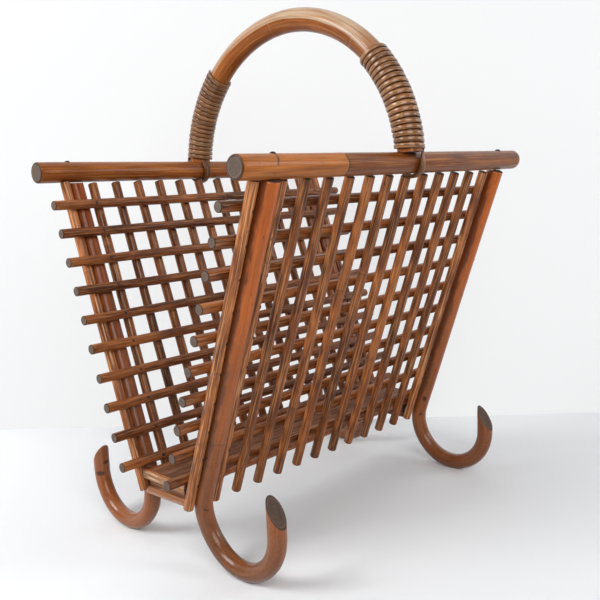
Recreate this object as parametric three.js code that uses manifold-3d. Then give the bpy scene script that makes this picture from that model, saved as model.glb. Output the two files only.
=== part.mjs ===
// Magazine basket of nailed cane: two sloping lattice panels under thick top rails, an arched
// handle with wound ends, a slatted floor, and four posts that curl outwards into hooked feet.
// Millimetres, +Z up. X runs along the rails, the front panel is on -Y, the feet rest at Z = 0.
import * as THREE from 'three';
import { mergeVertices } from 'three/addons/utils/BufferGeometryUtils.js';
import Module from 'manifold-3d';

const wasm = await Module();
wasm.setup();

// Clearance between pieces that touch, and how far a cutter runs past what it cuts.
const contact_gap = 0.3;
const cut_overrun = 12;
const join_overlap = 0.6;

// Top rails.
const rail_length = 405;
const rail_radius = 9.5;
const rail_end_round = 1.4;
const rail_axis_height = 345;
const rail_spacing = 273.6;

// Lattice panels: rods run along X on the inner side, sticks run down the slope outside them.
// The lowest rods lie just over the floor, and the rods' ends reach past the outer guards.
// A panel's uprights sit a little off the middle, and a stick below a strap stops short of it.
const top_rod_drop = 29;
const top_rod_inset = 22.4;
const bottom_rod_spacing = 65.2;
const bottom_rod_gap = 1.6;
const rod_count = 10;
const rod_radius = 4.5;
const rod_end_reach = 23.6;
const free_stick_count = 10;
const stick_radius = 4.5;
const stick_top_rise = 23.4;
const strap_stick_rise = 21.3;
const stick_bottom_drop = 26.3;
const guard_post_gap = 4.4;
const front_upright_shift = -2.2;
const back_upright_shift = -0.4;

// Posts with hooked feet, and the height of each hook's tip.
const post_radius = 8.2;
const post_end_inset = 38.6;
const foot_bend_radius = 43;
const foot_flat_depth = 0.6;
const tip_cut_height = 25;
const front_left_tip_height = 84;
const front_right_tip_height = 79;
const back_left_tip_height = 76;
const back_right_tip_height = 78;

// Handle arch, half an ellipse about the rails' axis height.
const handle_radius = 11;
const handle_outset = 5.7;
const handle_rise = 139.6;
const handle_ear_height = 8.8;

// Cane wound round the handle's ends, each strand going on round its rail.
const cane_width = 4.1;
const cane_thickness = 2;
const winding_turns = 19;
const turn_gap = 0.46;
const winding_rail_gap = 0.6;
const winding_leave_degrees = 46;
const strap_slack = 0.8;
const strap_side_reach = 10;
const front_strap_under_reach = 11;
const back_strap_under_reach = 4.7;
const strap_handle_length = 4;
const strap_end_degrees = 220;
const strap_end_run = 1.5;

// Floor: edge canes, slats between them, end battens and bearers below.
const floor_end_reach = 3.6;
const floor_side_gap = 2.9;
const floor_top_height = 76.3;
const slat_count = 6;
const slat_thickness = 4;
const slat_dome_share = 0.25;
const slat_gap = 0.5;
const edge_cane_radius = 4.4;
const batten_thickness = 4.5;
const batten_height = 8.6;
const bearer_count = 2;
const bearer_width = 9;
const bearer_height = 4.2;
const end_bearer_width = 8;
const end_bearer_height = 10.8;
const cross_bar_radius = 3.6;

// Facets, as counts.
const rail_sides = 18;
const rod_sides = 10;
const post_sides = 14;
const bend_step_degrees = 12;
const handle_sides = 14;
const handle_steps = 34;
const winding_steps = 14;
const cane_sides = 6;
const strap_blend_steps = 5;
const strap_step_degrees = 14;
const dome_steps = 5;

// Sizes that follow from the ones above.
const rail_y = rail_spacing / 2;
const top_rod_y = rail_y - top_rod_inset;
const top_rod_height = rail_axis_height - top_rod_drop;
const bottom_rod_y = bottom_rod_spacing / 2;
const bottom_rod_height = floor_top_height + bottom_rod_gap + rod_radius;
const panel_width = top_rod_y - bottom_rod_y;
const panel_height = top_rod_height - bottom_rod_height;
const slope = Math.atan2(panel_width, panel_height);
const rod_pitch = Math.hypot(panel_width, panel_height) / (rod_count - 1);
const stick_offset = rod_radius + stick_radius + contact_gap;
const post_offset = rod_radius + post_radius + contact_gap;
const stick_bottom_reach = (rod_count - 1) * rod_pitch + stick_bottom_drop;
const post_x = rail_length / 2 - post_end_inset;
const post_reach = post_radius + stick_radius + contact_gap;
const guard_reach = Math.sqrt(post_reach ** 2 - (post_offset - stick_offset) ** 2);
const inner_guard_x = post_x - guard_reach - guard_post_gap;
const stick_pitch = 2 * inner_guard_x / (free_stick_count + 1);
const outer_guard_x = post_x + guard_reach;
const rod_length = 2 * (outer_guard_x + rod_end_reach);
const post_top_height = rail_axis_height - rail_radius - contact_gap;
const hook_height = foot_bend_radius + post_radius - foot_flat_depth;
const hook_y = panelY(hook_height, post_offset) + foot_bend_radius / Math.cos(slope);
const handle_reach = rail_y + handle_outset;
const floor_half_length = outer_guard_x + floor_end_reach;
const batten_bottom_height = floor_top_height - batten_height;
const slat_bottom_height = floor_top_height - slat_thickness;
const guard_face_offset = stick_offset - stick_radius;
const floor_half_width = panelY(batten_bottom_height, guard_face_offset) - floor_side_gap;
const edge_cane_y = floor_half_width - edge_cane_radius;
const end_bearer_bottom_height = slat_bottom_height - end_bearer_height;
const cross_bar_height = end_bearer_bottom_height - contact_gap - cross_bar_radius;
const cross_bar_x = floor_half_length - cross_bar_radius;
const cross_bar_bottom_height = cross_bar_height - cross_bar_radius;
const cross_bar_half_length = panelY(cross_bar_bottom_height, guard_face_offset) - contact_gap;

// Distance from the middle plane, at a height, of a line down the slope that lies this far
// outside the rods' axes.
function panelY(height, offset) {
  const drop = top_rod_height - offset * Math.sin(slope) - height;
  return top_rod_y + offset * Math.cos(slope) - drop * Math.tan(slope);
}

function cane(name, geometry, color, roughness) {
  const material = new THREE.MeshStandardMaterial({ color, roughness, metalness: 0 });
  const mesh = new THREE.Mesh(geometry, material);
  mesh.name = name;
  return mesh;
}

function toSolid(geometry) {
  const bare = geometry.clone();
  bare.deleteAttribute('normal');
  bare.deleteAttribute('uv');
  const merged = mergeVertices(bare);
  return new wasm.Manifold(new wasm.Mesh({
    numProp: 3,
    vertProperties: new Float32Array(merged.attributes.position.array),
    triVerts: new Uint32Array(merged.index.array),
  }));
}

function fromSolid(solid) {
  const mesh = solid.getMesh();
  const geometry = new THREE.BufferGeometry();
  geometry.setAttribute('position', new THREE.Float32BufferAttribute(mesh.vertProperties, 3));
  geometry.setIndex(Array.from(mesh.triVerts));
  geometry.computeVertexNormals();
  return geometry;
}

function roundSection(radius, sides) {
  const points = [];
  for (let side = 0; side < sides; side += 1) {
    const angle = side / sides * Math.PI * 2;
    points.push(new THREE.Vector2(radius * Math.cos(angle), radius * Math.sin(angle)));
  }
  return new THREE.Shape(points);
}

// A route whose steps land on its own stations, so that a straight run takes a single step.
class StationRoute extends THREE.Curve {
  constructor(stations) {
    super();
    this.stations = stations;
  }

  getPoint(share, target = new THREE.Vector3()) {
    const place = share * (this.stations.length - 1);
    const first = Math.min(Math.floor(place), this.stations.length - 2);
    return target.lerpVectors(this.stations[first], this.stations[first + 1], place - first);
  }

  getUtoTmapping(share) {
    return share;
  }
}

function tubeAlong(stations, radius, sides) {
  return new THREE.ExtrudeGeometry(roundSection(radius, sides), {
    extrudePath: new StationRoute(stations),
    steps: stations.length - 1,
    bevelEnabled: false,
  });
}

// A straight cane along X.
function caneAlongX(radius, length, sides) {
  return new THREE.CylinderGeometry(radius, radius, length, sides).rotateZ(Math.PI / 2);
}

function boxAt(width, depth, height, x, y, z) {
  return new THREE.BoxGeometry(width, depth, height).translate(x, y, z);
}

function railGeometry() {
  const half = rail_length / 2;
  const profile = [
    new THREE.Vector2(0, -half),
    new THREE.Vector2(rail_radius - rail_end_round, -half),
    new THREE.Vector2(rail_radius, rail_end_round - half),
    new THREE.Vector2(rail_radius, half - rail_end_round),
    new THREE.Vector2(rail_radius - rail_end_round, half),
    new THREE.Vector2(0, half),
  ];
  return new THREE.LatheGeometry(profile, rail_sides).rotateZ(Math.PI / 2);
}

function stickGeometry(top_rise) {
  const length = stick_bottom_reach + top_rise;
  return new THREE.CylinderGeometry(stick_radius, stick_radius, length, rod_sides)
    .rotateX(Math.PI / 2)
    .translate(0, stick_offset, (top_rise - stick_bottom_reach) / 2);
}

// The hook's middle line at an angle about its centre: 0 is lowest, 90 degrees points outwards.
function hookPoint(angle) {
  const y = hook_y + foot_bend_radius * Math.sin(angle);
  const z = hook_height - foot_bend_radius * Math.cos(angle);
  return new THREE.Vector3(0, y, z);
}

function addBend(stations, from, to) {
  const steps = Math.ceil(THREE.MathUtils.radToDeg(to - from) / bend_step_degrees);
  for (let step = 1; step <= steps; step += 1) {
    stations.push(hookPoint(from + (to - from) * step / steps));
  }
}

// A post runs down the slope, curls outwards under the basket and turns up again to its tip,
// which is cut on a slant. The top is cut level under the rail and the foot is worn flat.
function postGeometry(tip_height) {
  const bend_start = -Math.PI / 2 - slope;
  const start_height = post_top_height + cut_overrun;
  const stations = [
    new THREE.Vector3(0, panelY(start_height, post_offset), start_height),
    hookPoint(bend_start),
  ];
  addBend(stations, bend_start, 0);
  addBend(stations, 0, Math.PI / 2);
  const tip_y = hook_y + foot_bend_radius;
  stations.push(new THREE.Vector3(0, tip_y, tip_height + cut_overrun));
  const tube = toSolid(tubeAlong(stations, post_radius, post_sides));

  const cutter_width = 2 * (post_radius + cut_overrun);
  const cutter_height = 2 * cut_overrun;
  const top_cut = boxAt(cutter_width, cutter_width, cutter_height, 0, stations[0].y, start_height);
  const floor_cut = boxAt(cutter_width, cutter_width, cutter_height, 0, hook_y, -cut_overrun);
  const tip_slope = Math.atan2(tip_cut_height, 2 * post_radius);
  const tip_cutter_width = 2 * (post_radius + tip_cut_height + cut_overrun);
  const tip_cut = boxAt(cutter_width, tip_cutter_width, tip_cutter_width, 0, 0,
    tip_cutter_width / 2)
    .rotateX(-tip_slope)
    .translate(0, tip_y, tip_height - tip_cut_height / 2);
  return fromSolid(tube
    .subtract(toSolid(top_cut))
    .subtract(toSolid(floor_cut))
    .subtract(toSolid(tip_cut)));
}

// The arch's middle line, with 0 at the outer side's rail and 90 degrees at the crown.
function archPoint(angle) {
  const y = handle_reach * Math.cos(angle);
  const z = rail_axis_height + handle_rise * Math.sin(angle);
  return new THREE.Vector3(0, y, z);
}

function archOutward(angle) {
  const y = handle_rise * Math.cos(angle);
  const z = handle_reach * Math.sin(angle);
  return new THREE.Vector3(0, y, z).normalize();
}

function handleGeometry() {
  const start = Math.asin(handle_ear_height / handle_rise);
  const stations = [];
  for (let step = 0; step <= handle_steps; step += 1) {
    stations.push(archPoint(start + (Math.PI - 2 * start) * step / handle_steps));
  }
  let arch = toSolid(tubeAlong(stations, handle_radius, handle_sides));
  for (const side of [-1, 1]) {
    const seat = caneAlongX(rail_radius + contact_gap, rail_length, rail_sides);
    arch = arch.subtract(toSolid(seat.translate(0, side * rail_y, rail_axis_height)));
  }
  return fromSolid(arch);
}

// One strand of cane as stations, each with its place and the direction that faces outwards:
// down the arch in turns, across to the rail's outer face, under the rail and up its inner side.
// The strap lies on the -X side of the arch, this far from it once it is under the rail.
function bindingStations(strap_under_reach) {
  const chord = Math.cos(Math.PI / winding_steps);
  const turn_radius = (handle_radius + contact_gap) / chord + cane_thickness / 2;
  const lowest = rail_radius + contact_gap + cane_width / 2 + winding_rail_gap;
  const low = Math.asin(lowest / handle_rise);
  const turn_angle = (cane_width + turn_gap) / (handle_rise - turn_radius);
  const high = low + winding_turns * turn_angle;
  const leave = THREE.MathUtils.degToRad(winding_leave_degrees);
  const steps = winding_turns * winding_steps;
  const stations = [];
  for (let step = 0; step <= steps; step += 1) {
    const turn = leave + (step - steps) / winding_steps * Math.PI * 2;
    const angle = high + (low - high) * step / steps;
    const outward = archOutward(angle).multiplyScalar(Math.cos(turn));
    outward.x = -Math.sin(turn);
    const place = archPoint(angle).addScaledVector(outward, turn_radius);
    stations.push({ place, outward });
  }

  const strap_radius = (rail_radius + contact_gap) + strap_slack + cane_thickness / 2;
  const strap = (angle) => {
    const outward = new THREE.Vector3(0, Math.cos(angle), -Math.sin(angle));
    const place = new THREE.Vector3(0, rail_y, rail_axis_height);
    place.addScaledVector(outward, strap_radius);
    const under = angle < Math.PI / 2 ? Math.sin(angle) : 1;
    place.x = -strap_side_reach - (strap_under_reach - strap_side_reach) * under;
    return { place, outward };
  };
  const last = stations[stations.length - 1];
  const travel = new THREE.Vector3(-Math.cos(leave), -Math.sin(leave), 0);
  const first_strap = strap(0);
  const down = new THREE.Vector3(0, 0, -1);
  const blend = new THREE.CubicBezierCurve3(
    last.place,
    last.place.clone().addScaledVector(travel, strap_handle_length),
    first_strap.place.clone().addScaledVector(down, -strap_handle_length),
    first_strap.place,
  );
  for (let step = 1; step < strap_blend_steps; step += 1) {
    const share = step / strap_blend_steps;
    const outward = last.outward.clone().lerp(first_strap.outward, share).normalize();
    stations.push({ place: blend.getPoint(share), outward });
  }
  const strap_steps = Math.ceil(strap_end_degrees / strap_step_degrees);
  for (let step = 0; step <= strap_steps; step += 1) {
    const angle = THREE.MathUtils.degToRad(strap_end_degrees) * step / strap_steps;
    stations.push(strap(angle));
  }
  const end = stations[stations.length - 1];
  const before = stations[stations.length - 2];
  const onward = end.place.clone().sub(before.place).normalize();
  stations.push({ place: end.place.clone().addScaledVector(onward, strap_end_run),
    outward: end.outward });
  return stations;
}

// Flat cane section round each station, as rings of points.
function caneRings(stations) {
  const rings = [];
  for (let index = 0; index < stations.length; index += 1) {
    const before = stations[Math.max(index - 1, 0)].place;
    const after = stations[Math.min(index + 1, stations.length - 1)].place;
    const along = after.clone().sub(before).normalize();
    const across = new THREE.Vector3().crossVectors(along, stations[index].outward).normalize();
    const outward = new THREE.Vector3().crossVectors(across, along);
    const ring = [];
    for (let side = 0; side < cane_sides; side += 1) {
      const angle = side / cane_sides * Math.PI * 2;
      ring.push(stations[index].place.clone()
        .addScaledVector(across, cane_width / 2 * Math.cos(angle))
        .addScaledVector(outward, cane_thickness / 2 * Math.sin(angle)));
    }
    rings.push(ring);
  }
  return rings;
}

// Least distance between the strand's own points that are half a turn or more apart along it.
function leastGap(rings) {
  const apart = winding_steps / 2;
  let least = Infinity;
  for (let first = 0; first < rings.length; first += 1) {
    for (let second = first + apart; second < rings.length; second += 1) {
      for (const point of rings[first]) {
        for (const other of rings[second]) {
          least = Math.min(least, point.distanceTo(other));
        }
      }
    }
  }
  return least;
}

function bindingGeometry(name, strap_under_reach) {
  const rings = caneRings(bindingStations(strap_under_reach));
  console.log(`${name}: least gap to itself ${leastGap(rings).toFixed(2)} mm`);
  const positions = rings.flat().flatMap((point) => point.toArray());
  const faces = [];
  const at = (ring, side) => ring * cane_sides + side % cane_sides;
  for (let ring = 0; ring < rings.length - 1; ring += 1) {
    for (let side = 0; side < cane_sides; side += 1) {
      faces.push(at(ring, side), at(ring + 1, side), at(ring, side + 1));
      faces.push(at(ring, side + 1), at(ring + 1, side), at(ring + 1, side + 1));
    }
  }
  const end = rings.length - 1;
  for (let side = 1; side < cane_sides - 1; side += 1) {
    faces.push(at(0, 0), at(0, side), at(0, side + 1));
    faces.push(at(end, 0), at(end, side + 1), at(end, side));
  }
  const geometry = new THREE.BufferGeometry();
  geometry.setAttribute('position', new THREE.Float32BufferAttribute(positions, 3));
  geometry.setIndex(faces);
  geometry.computeVertexNormals();
  return geometry;
}

// A split slat along X: flat below, gently domed on top.
function slatGeometry(width, length) {
  const dome = slat_thickness * slat_dome_share;
  const points = [];
  for (let step = 0; step <= dome_steps; step += 1) {
    const share = step / dome_steps;
    const rise = dome * Math.sin(share * Math.PI);
    points.push(new THREE.Vector2((share - 1 / 2) * width, slat_thickness - dome + rise));
  }
  points.push(new THREE.Vector2(width / 2, 0));
  points.push(new THREE.Vector2(-width / 2, 0));
  const shape = new THREE.Shape(points.reverse());
  return new THREE.ExtrudeGeometry(shape, { depth: length, bevelEnabled: false })
    .translate(0, 0, -length / 2)
    .rotateX(Math.PI / 2)
    .rotateZ(Math.PI / 2);
}

function floorGeometry() {
  const batten_x = floor_half_length - batten_thickness / 2;
  const batten_z = batten_bottom_height + batten_height / 2;
  const inner_half_length = floor_half_length - batten_thickness;
  const run = 2 * (inner_half_length + join_overlap);
  let floor = null;
  const join = (geometry) => {
    floor = floor ? floor.add(toSolid(geometry)) : toSolid(geometry);
  };
  for (const end of [-1, 1]) {
    join(boxAt(batten_thickness, 2 * floor_half_width, batten_height, end * batten_x, 0, batten_z));
  }
  const joinBearer = (width, height, x) => {
    const z = slat_bottom_height + (join_overlap - height) / 2;
    join(boxAt(width, 2 * edge_cane_y, height + join_overlap, x, 0, z));
  };
  for (let index = 1; index <= bearer_count; index += 1) {
    joinBearer(bearer_width, bearer_height, inner_half_length * (2 * index / (bearer_count + 1) - 1));
  }
  for (const end of [-1, 1]) {
    joinBearer(end_bearer_width, end_bearer_height,
      end * (inner_half_length + join_overlap - end_bearer_width / 2));
  }
  const edge_z = floor_top_height - edge_cane_radius;
  for (const side of [-1, 1]) {
    join(caneAlongX(edge_cane_radius, run, rod_sides).translate(0, side * edge_cane_y, edge_z));
  }
  const room = 2 * (edge_cane_y - edge_cane_radius);
  const slat_width = (room - (slat_count + 1) * slat_gap) / slat_count;
  for (let index = 0; index < slat_count; index += 1) {
    const y = (index - (slat_count - 1) / 2) * (slat_width + slat_gap);
    join(slatGeometry(slat_width, run).translate(0, y, slat_bottom_height));
  }
  return fromSolid(floor);
}

// Builds one side with outwards as +Y, then turns it to its side of the basket.
function buildSide(side_name, side, upright_shift, strap_under_reach, tips) {
  const frame = new THREE.Group();
  frame.rotation.z = side < 0 ? Math.PI : 0;

  const rail = cane(`${side_name}_rail`, railGeometry(), 0x9a5a33, 0.4);
  rail.position.set(0, rail_y, rail_axis_height);
  frame.add(rail);

  const lattice = new THREE.Group();
  lattice.position.set(0, top_rod_y, top_rod_height);
  lattice.rotation.x = -slope;
  frame.add(lattice);
  for (let index = 0; index < rod_count; index += 1) {
    const number = String(index + 1).padStart(2, '0');
    const rod = cane(`${side_name}_rod_${number}`,
      caneAlongX(rod_radius, rod_length, rod_sides), 0x7d4a2c, 0.5);
    rod.position.z = -index * rod_pitch;
    lattice.add(rod);
  }
  const strap_clearance = stick_radius + cane_width / 2 + contact_gap;
  for (let index = 0; index < free_stick_count; index += 1) {
    const number = String(index + 1).padStart(2, '0');
    const x = side * ((index - (free_stick_count - 1) / 2) * stick_pitch + upright_shift);
    const below_strap = Math.abs(x + strap_under_reach) < strap_clearance;
    const geometry = stickGeometry(below_strap ? strap_stick_rise : stick_top_rise);
    const stick = cane(`${side_name}_stick_${number}`, geometry, 0x8a5532, 0.5);
    stick.position.x = x;
    lattice.add(stick);
  }
  for (const [end_name, end] of [['left', -1], ['right', 1]]) {
    for (const [place, x] of [['inner', inner_guard_x], ['outer', outer_guard_x]]) {
      const name = `${side_name}_${end_name}_${place}_guard`;
      const guard = cane(name, stickGeometry(stick_top_rise), 0x94603a, 0.5);
      guard.position.x = side * (end * x + upright_shift);
      lattice.add(guard);
    }
    const post = cane(`${side_name}_${end_name}_post`, postGeometry(tips[end_name]), 0x96542f, 0.4);
    post.position.x = side * (end * post_x + upright_shift);
    frame.add(post);
  }

  const binding_name = `${side_name}_binding`;
  const binding = bindingGeometry(binding_name, strap_under_reach);
  frame.add(cane(binding_name, binding, 0x8f6a45, 0.45));
  return frame;
}

const basket = new THREE.Group();
basket.add(buildSide('front', -1, front_upright_shift, front_strap_under_reach,
  { left: front_left_tip_height, right: front_right_tip_height }));
basket.add(buildSide('back', 1, back_upright_shift, back_strap_under_reach,
  { left: back_left_tip_height, right: back_right_tip_height }));
basket.add(cane('handle_arch', handleGeometry(), 0xb07a48, 0.35));
basket.add(cane('floor', floorGeometry(), 0x7a4b2e, 0.6));
for (const [end_name, end] of [['left', -1], ['right', 1]]) {
  const bar = cane(`${end_name}_cross_bar`,
    caneAlongX(cross_bar_radius, 2 * cross_bar_half_length, rod_sides), 0xa06a42, 0.35);
  bar.rotation.z = Math.PI / 2;
  bar.position.set(end * cross_bar_x, 0, cross_bar_height);
  basket.add(bar);
}

export default basket;
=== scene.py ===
"""Magazine basket of nailed cane: top rails, two lattice panels, hooked posts, an arched handle
with wound ends, and a slatted floor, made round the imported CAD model.

Every cane is swept along a guide by one Geometry Nodes tree, and one instancing tree sets the nail
heads. The finishes are procedural and follow each cane by its own attributes: grain holds the
place across the cane and the length along it, tip the distance from the nearer end, and run the
cane's tone, where its first node ring lies and its seed. A guide's girth thickens its cane.
"""

import math
import random

import bmesh
import bpy
from bpy.props import FloatProperty, FloatVectorProperty, IntProperty, PointerProperty
from bpy.types import Operator, Panel, PropertyGroup
from mathutils import Matrix, Vector


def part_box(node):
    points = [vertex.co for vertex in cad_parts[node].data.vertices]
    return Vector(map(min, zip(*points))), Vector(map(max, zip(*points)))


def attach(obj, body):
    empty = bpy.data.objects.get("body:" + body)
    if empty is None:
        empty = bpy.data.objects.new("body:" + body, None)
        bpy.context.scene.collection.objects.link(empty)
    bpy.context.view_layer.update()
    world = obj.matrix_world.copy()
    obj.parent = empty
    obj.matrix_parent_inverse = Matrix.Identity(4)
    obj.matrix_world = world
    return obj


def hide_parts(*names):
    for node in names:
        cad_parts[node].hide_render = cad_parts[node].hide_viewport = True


bl_info = {
    "name": "Magazine Basket",
    "version": (1, 0, 0),
    "blender": (4, 5, 0),
    "location": "View3D > Sidebar > Basket",
    "description": "Builds a cane magazine basket with wound handle ends and hooked feet",
    "category": "Object",
}

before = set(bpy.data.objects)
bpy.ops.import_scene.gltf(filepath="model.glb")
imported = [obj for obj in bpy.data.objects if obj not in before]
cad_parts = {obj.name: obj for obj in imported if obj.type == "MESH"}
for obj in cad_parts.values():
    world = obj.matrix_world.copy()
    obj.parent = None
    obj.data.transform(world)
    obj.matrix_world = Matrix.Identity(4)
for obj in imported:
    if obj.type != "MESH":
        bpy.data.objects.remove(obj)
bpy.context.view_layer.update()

SIDES = {"front": -1, "back": 1}
ENDS = {"left": -1, "right": 1}
X_AXIS = Vector((1, 0, 0))
Z_AXIS = Vector((0, 0, 1))


# Properties that a user would change

def length(label, text, default):
    return FloatProperty(name=label, description=text, default=default, min=0.0001, unit="LENGTH",
                         precision=4)


def colour(label, text, red, green, blue):
    """A colour property whose default is given as the usual 0 to 255 display values."""
    values = [value / 255 for value in (red, green, blue)]
    linear = [v / 12.92 if v <= 0.04045 else ((v + 0.055) / 1.055) ** 2.4 for v in values]
    return FloatVectorProperty(name=label, description=text, subtype="COLOR", size=3, min=0, max=1,
                               default=linear)


class BasketSizes(PropertyGroup):
    """Sizes of the basket's canes, in metres, as in the CAD model."""
    contact_gap: length("Contact gap", "Clearance between pieces that touch", 0.0003)
    rail_diameter: length("Rail", "Thickness of the two top rails", 0.019)
    rod_diameter: length("Rod", "Thickness of the level rods", 0.009)
    stick_diameter: length("Stick", "Thickness of the upright sticks", 0.009)
    post_diameter: length("Post", "Thickness of the hooked posts", 0.0164)
    handle_diameter: length("Handle", "Thickness of the arched handle", 0.022)
    bar_diameter: length("Cross bar", "Thickness of the low bar at each end", 0.0072)
    stick_bottom_drop: length("Stick bottom", "How far sticks reach below the last rod", 0.0263)
    foot_bend_radius: length("Foot bend", "Radius of a foot's bend at its middle line", 0.043)
    foot_flat_depth: length("Foot flat", "How deep the worn flat under a foot is", 0.0006)
    tip_cut_height: length("Tip cut", "Height of the slanted cut of a foot's tip", 0.025)
    tip_front_left: length("Front left tip", "Height of this foot's tip", 0.084)
    tip_front_right: length("Front right tip", "Height of this foot's tip", 0.079)
    tip_back_left: length("Back left tip", "Height of this foot's tip", 0.076)
    tip_back_right: length("Back right tip", "Height of this foot's tip", 0.078)
    handle_outset: length("Handle outset", "How far the arch leans past each rail", 0.0057)
    handle_rise: length("Handle rise", "Height of the arch above the rails' axes", 0.1396)
    handle_ear_height: length("Handle ears", "Where the arch ends, above the rails' axes", 0.0088)
    strand_width: length("Strand width", "Width of the wound cane", 0.0043)
    strand_thickness: length("Strand thickness", "Thickness of the wound cane", 0.0021)
    winding_turns: IntProperty(name="Turns", description="Turns round each end of the handle",
                               default=19, min=1, max=60)
    turn_pitch: FloatProperty(name="Turn pitch", description="Angle of the arch per turn",
                              default=0.0359, min=0.005, unit="ROTATION", precision=4)
    strap_side_reach: length("Strap side", "How far the strap leaves beside the arch", 0.01)
    strap_front_reach: length("Front strap", "How far aside the strap is under the rail", 0.011)
    strap_back_reach: length("Back strap", "How far aside the strap is under the rail", 0.0047)
    slat_count: IntProperty(name="Slats", description="Slats of the floor", default=6, min=2)
    slat_thickness: length("Slat", "Thickness of a floor slat", 0.004)
    slat_gap: length("Slat gap", "Gap between two slats", 0.0005)
    edge_cane_diameter: length("Edge cane", "Thickness of the floor's edge canes", 0.0088)
    batten_thickness: length("Batten", "Thickness of the split end battens", 0.0045)
    batten_height: length("Batten height", "Height of the split end battens", 0.0086)
    bearer_width: length("Bearer", "Width of the bearers under the slats", 0.009)
    bearer_height: length("Bearer height", "Height of the bearers under the slats", 0.0042)
    end_bearer_width: length("End bearer", "Width of the bearers on the cross bars", 0.008)
    nail_diameter: length("Nail head", "Width of a nail head", 0.0026)


class BasketColours(PropertyGroup):
    """Main colours of the finishes."""
    rail: colour("Rail", "Top rails", 141, 76, 27)
    rod: colour("Rod", "Level rods", 125, 69, 32)
    stick: colour("Stick", "Upright sticks", 129, 72, 34)
    guard: colour("Guard", "Sticks beside the posts", 152, 89, 47)
    post: colour("Post", "Hooked posts", 154, 73, 20)
    foot: colour("Foot", "Faded skin low on the posts", 124, 82, 52)
    handle: colour("Handle", "Arched handle", 144, 79, 31)
    # This colour of the handle's top is partly real wear and partly a painted sheen of the bright
    # ceiling
    worn: colour("Worn skin", "Top of the handle, worn pale", 194, 168, 138)
    strand: colour("Strand", "Cane wound round the handle", 134, 86, 48)
    slat: colour("Slat", "Floor slats", 112, 66, 40)
    edge: colour("Edge cane", "Canes along the floor's edges", 142, 78, 40)
    batten: colour("Batten", "Split faces of the end battens", 172, 122, 84)
    bar: colour("Cross bar", "Cross bars", 144, 90, 54)
    cut_end: colour("Cut end", "Sawn ends of the canes", 114, 94, 81)
    nail: colour("Nail", "Nail heads", 52, 33, 24)
    ground: colour("Ground", "Floor that the basket stands on", 234, 236, 238)


# Tables of the canes' shapes and finishes, by kind

SHAPE_SETTINGS = ("Sides", "Wander", "Wander Length", "Lumps", "Ripple", "End Round", "Ring Swell",
                  "Squareness")
SHAPES = {
    "rail": (40, 0.0004, 0.15, 0.012, 0.00006, 0.0014, 0.012, 1.0),
    "rod": (18, 0.0006, 0.12, 0.05, 0.00012, 0.0004, 0.02, 1.0),
    "stick": (18, 0.0007, 0.1, 0.05, 0.00014, 0.0008, 0.02, 1.0),
    "guard": (18, 0.0007, 0.1, 0.05, 0.00014, 0.0008, 0.02, 1.0),
    "post": (32, 0.0007, 0.13, 0.03, 0.0001, 0.0, 0.03, 1.0),
    "handle": (40, 0.0006, 0.12, 0.02, 0.00006, 0.0, 0.015, 1.0),
    "strand": (14, 0.0003, 0.02, 0.09, 0.0, 0.0, 0.0, 0.72),
    "slat": (20, 0.0003, 0.08, 0.03, 0.0001, 0.0, 0.0, 0.5),
    "edge": (18, 0.0003, 0.08, 0.03, 0.0001, 0.0, 0.0, 1.0),
    "batten": (24, 0.0003, 0.08, 0.05, 0.0002, 0.0005, 0.0, 0.5),
    "bearer": (20, 0.0, 0.08, 0.03, 0.0001, 0.0004, 0.0, 0.45),
    "bar": (24, 0.0002, 0.08, 0.03, 0.00005, 0.0005, 0.0, 1.0),
}

# How dark and light the fibres go, the coat, the skin group's settings in the order of their
# names, and the settings that only this kind has
SKIN_SETTINGS = ("Fibre Width", "Fibre Length", "Fibre Contrast", "Streaks", "Patch Contrast",
                 "Ring Spacing", "Ring Strength", "Gloss")
SKINS = {
    "rail": (0.34, 1.9, 0.22, (0.0016, 0.06, 0.5, 0.4, 0.6, 0.5, 0.9, 0.36),
             {"Internode Contrast": 0.65, "End Band": 0.0008}),
    "rod": (0.28, 2.0, 0.25, (0.0018, 0.03, 0.9, 0.55, 0.9, 0.31, 0.35, 0.42),
            {"End Band": 0.0006}),
    "stick": (0.28, 2.1, 0.28, (0.0019, 0.035, 0.9, 0.6, 0.95, 0.27, 0.3, 0.42),
              {"End Band": 0.0008}),
    "guard": (0.28, 2.0, 0.28, (0.0019, 0.035, 0.95, 0.8, 0.9, 0.29, 0.3, 0.4),
              {"End Band": 0.0008}),
    # The post's side settings paint shade down both sides of a post, where its guards stand close,
    # above the foot only
    "post": (0.26, 1.8, 0.2, (0.0022, 0.07, 0.36, 0.25, 0.65, 0.48, 0.8, 0.36),
             {"Internode Contrast": 0.22, "Side Start": 0.0064, "Side Length": 0.27}),
    "handle": (0.34, 1.8, 0.25, (0.0024, 0.07, 0.4, 0.35, 0.5, 0.11, 0.5, 0.32),
               {"Internode Contrast": 0.1}),
    # The strand's edge setting paints shade at both edges of the strand, for the gaps between its
    # turns
    "strand": (0.26, 1.9, 0.9, (0.0008, 0.03, 0.6, 0.5, 0.7, 0.33, 0.3, 0.34),
               {"Edge Start": 0.0018}),
    "slat": (0.3, 2.2, 0.1, (0.001, 0.03, 0.8, 0.9, 0.5, 0.4, 0.2, 0.5), {}),
    "edge": (0.36, 1.9, 0.4, (0.0014, 0.05, 0.5, 0.5, 0.45, 0.35, 0.4, 0.4), {}),
    "batten": (0.36, 1.5, 0.0, (0.0009, 0.02, 0.8, 0.8, 0.5, 0.4, 0.1, 0.5), {}),
    "bar": (0.36, 1.8, 0.8, (0.0016, 0.04, 0.45, 0.5, 0.5, 0.3, 0.3, 0.3), {}),
}

# How bright the sawn ends are of the kinds that differ from the plain cut colour
CUT_SHADES = {"rail": 0.85, "rod": 0.95, "stick": 0.52, "guard": 0.57, "post": 0.58, "slat": 0.8,
              "strand": 0.7, "batten": 0.8}

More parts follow.
